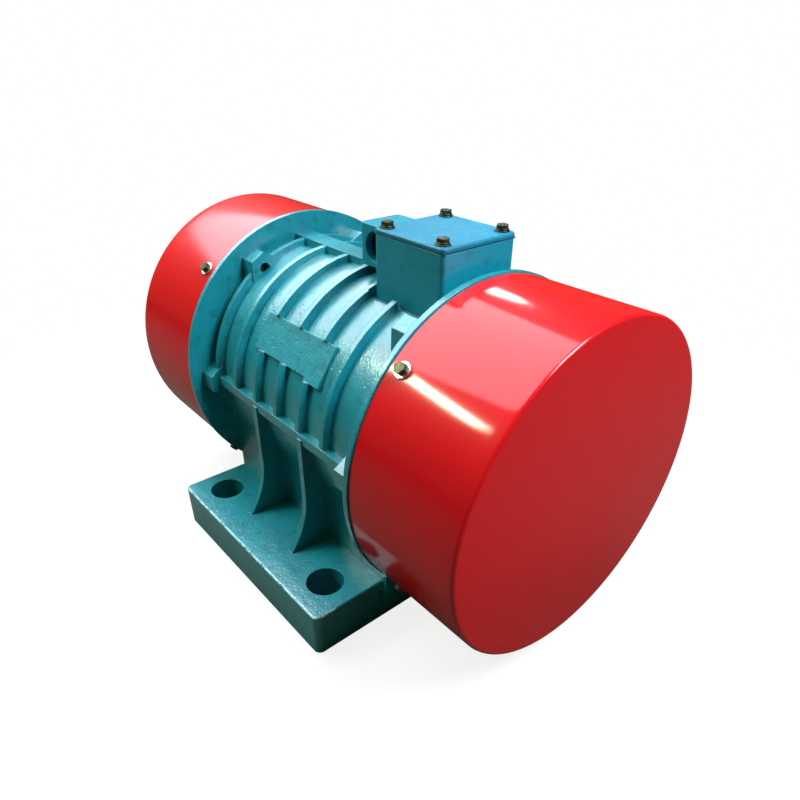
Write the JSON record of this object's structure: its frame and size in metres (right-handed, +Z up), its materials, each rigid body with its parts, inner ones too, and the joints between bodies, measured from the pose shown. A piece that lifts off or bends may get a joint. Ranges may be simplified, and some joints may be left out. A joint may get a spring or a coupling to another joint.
{
  "type": "vibration motor",
  "caption": "Foot-mounted electric vibration motor: ribbed barrel with a terminal box, and eccentric weights on both shaft ends under drum covers.",
  "frame": {"origin": "under the middle of the shaft, on the plane the foot stands on", "axes": "+X along the shaft towards the end with the terminal box, +Z up, -Y the side with the cable entry and the bare name pad"},
  "size_m": [0.378, 0.27, 0.2522],
  "materials": {
    "body_enamel": "glossy blue-green enamel over rough cast iron",
    "cover_enamel": "glossy red enamel over sheet steel",
    "shield_iron": "cast and machined",
    "weight_iron": "flame-cut plate, oiled",
    "lamination_steel": "stacked sheet",
    "winding_copper": "enamelled copper wire, varnished",
    "cage_aluminium": "die cast",
    "bearing_steel": "ground",
    "bearing_brass": "machined",
    "turned_steel": "turned and ground",
    "zinc_steel": "zinc plated, passivated olive-grey",
    "seal_rubber": "moulded",
    "block_plastic": "moulded thermoset",
    "terminal_brass": "turned"
  },
  "bodies": {
    "frame": {"bearing_cap_screws": "zinc_steel", "bearing_outer_ring_left": "bearing_steel", "bearing_outer_ring_right": "bearing_steel", "box_gasket": "seal_rubber", "box_screws": "zinc_steel", "cover_bolts": "zinc_steel", "cover_ring_left": "seal_rubber", "cover_ring_right": "seal_rubber", "cover_washers": "zinc_steel", "earth_screw": "terminal_brass", "end_cover_left": "cover_enamel", "end_cover_right": "cover_enamel", "end_shield_bolts": "zinc_steel", "end_shield_left": "shield_iron", "end_shield_right": "shield_iron", "entry_bush": "block_plastic", "entry_grommet": "seal_rubber", "frame_casting": "body_enamel", "inner_bearing_cap_left": "shield_iron", "inner_bearing_cap_right": "shield_iron", "lid_gasket": "seal_rubber", "lid_screws": "zinc_steel", "lid_spring_washers": "zinc_steel", "lid_washers": "zinc_steel", "outer_bearing_cap_left": "shield_iron", "outer_bearing_cap_right": "shield_iron", "shaft_seal_left": "seal_rubber", "shaft_seal_right": "seal_rubber", "stator_core": "lamination_steel", "stator_winding": "winding_copper", "terminal_block": "block_plastic", "terminal_box": "body_enamel", "terminal_lid": "body_enamel", "terminal_nuts": "terminal_brass", "terminal_studs": "terminal_brass"},
    "rotor": {"shaft": "turned_steel", "rotor_core": "lamination_steel", "rotor_cage": "cage_aluminium", "rotor_key": "turned_steel", "weight_keys": "turned_steel", "bearing_inner_ring_left": "bearing_steel", "bearing_inner_ring_right": "bearing_steel", "spacer_ring_left": "turned_steel", "spacer_ring_right": "turned_steel", "fixed_weight_left": "weight_iron", "fixed_weight_right": "weight_iron", "fixed_clamp_bolts": "zinc_steel", "fixed_clamp_nuts": "zinc_steel", "shaft_end_rings": "turned_steel"},
    "adjustable_weight_right": {"adjustable_weight_right": "weight_iron", "adjustable_clamp_bolt_right": "zinc_steel", "adjustable_clamp_nut_right": "zinc_steel"},
    "adjustable_weight_left": {"adjustable_weight_left": "weight_iron", "adjustable_clamp_bolt_left": "zinc_steel", "adjustable_clamp_nut_left": "zinc_steel"},
    "roller_set_right": {"bearing_rollers_right": "bearing_steel", "bearing_cage_right": "bearing_brass"},
    "roller_set_left": {"bearing_rollers_left": "bearing_steel", "bearing_cage_left": "bearing_brass"}
  },
  "joints": [
    {"name": "rotor_spin", "type": "hinge", "parent": "frame", "child": "rotor", "pos_m": [0, 0, 0.12], "axis": [1, 0, 0], "continuous": true},
    {"name": "weight_setting_right", "type": "hinge", "parent": "rotor", "child": "adjustable_weight_right", "pos_m": [0.1693, 0, 0.12], "axis": [1, 0, 0], "range_deg": [0, 180]},
    {"name": "weight_setting_left", "type": "hinge", "parent": "rotor", "child": "adjustable_weight_left", "pos_m": [-0.1693, 0, 0.12], "axis": [-1, 0, 0], "range_deg": [0, 180]},
    {"name": "roller_set_spin_right", "type": "hinge", "parent": "frame", "child": "roller_set_right", "pos_m": [0.1125, 0, 0.12], "axis": [1, 0, 0], "continuous": true},
    {"name": "roller_set_spin_left", "type": "hinge", "parent": "frame", "child": "roller_set_left", "pos_m": [-0.1125, 0, 0.12], "axis": [1, 0, 0], "continuous": true}
  ],
  "couplings": [
    {"joint": "roller_set_spin_right", "follows": "rotor_spin", "ratio": 0.4},
    {"joint": "roller_set_spin_left", "follows": "rotor_spin", "ratio": 0.4}
  ]
}
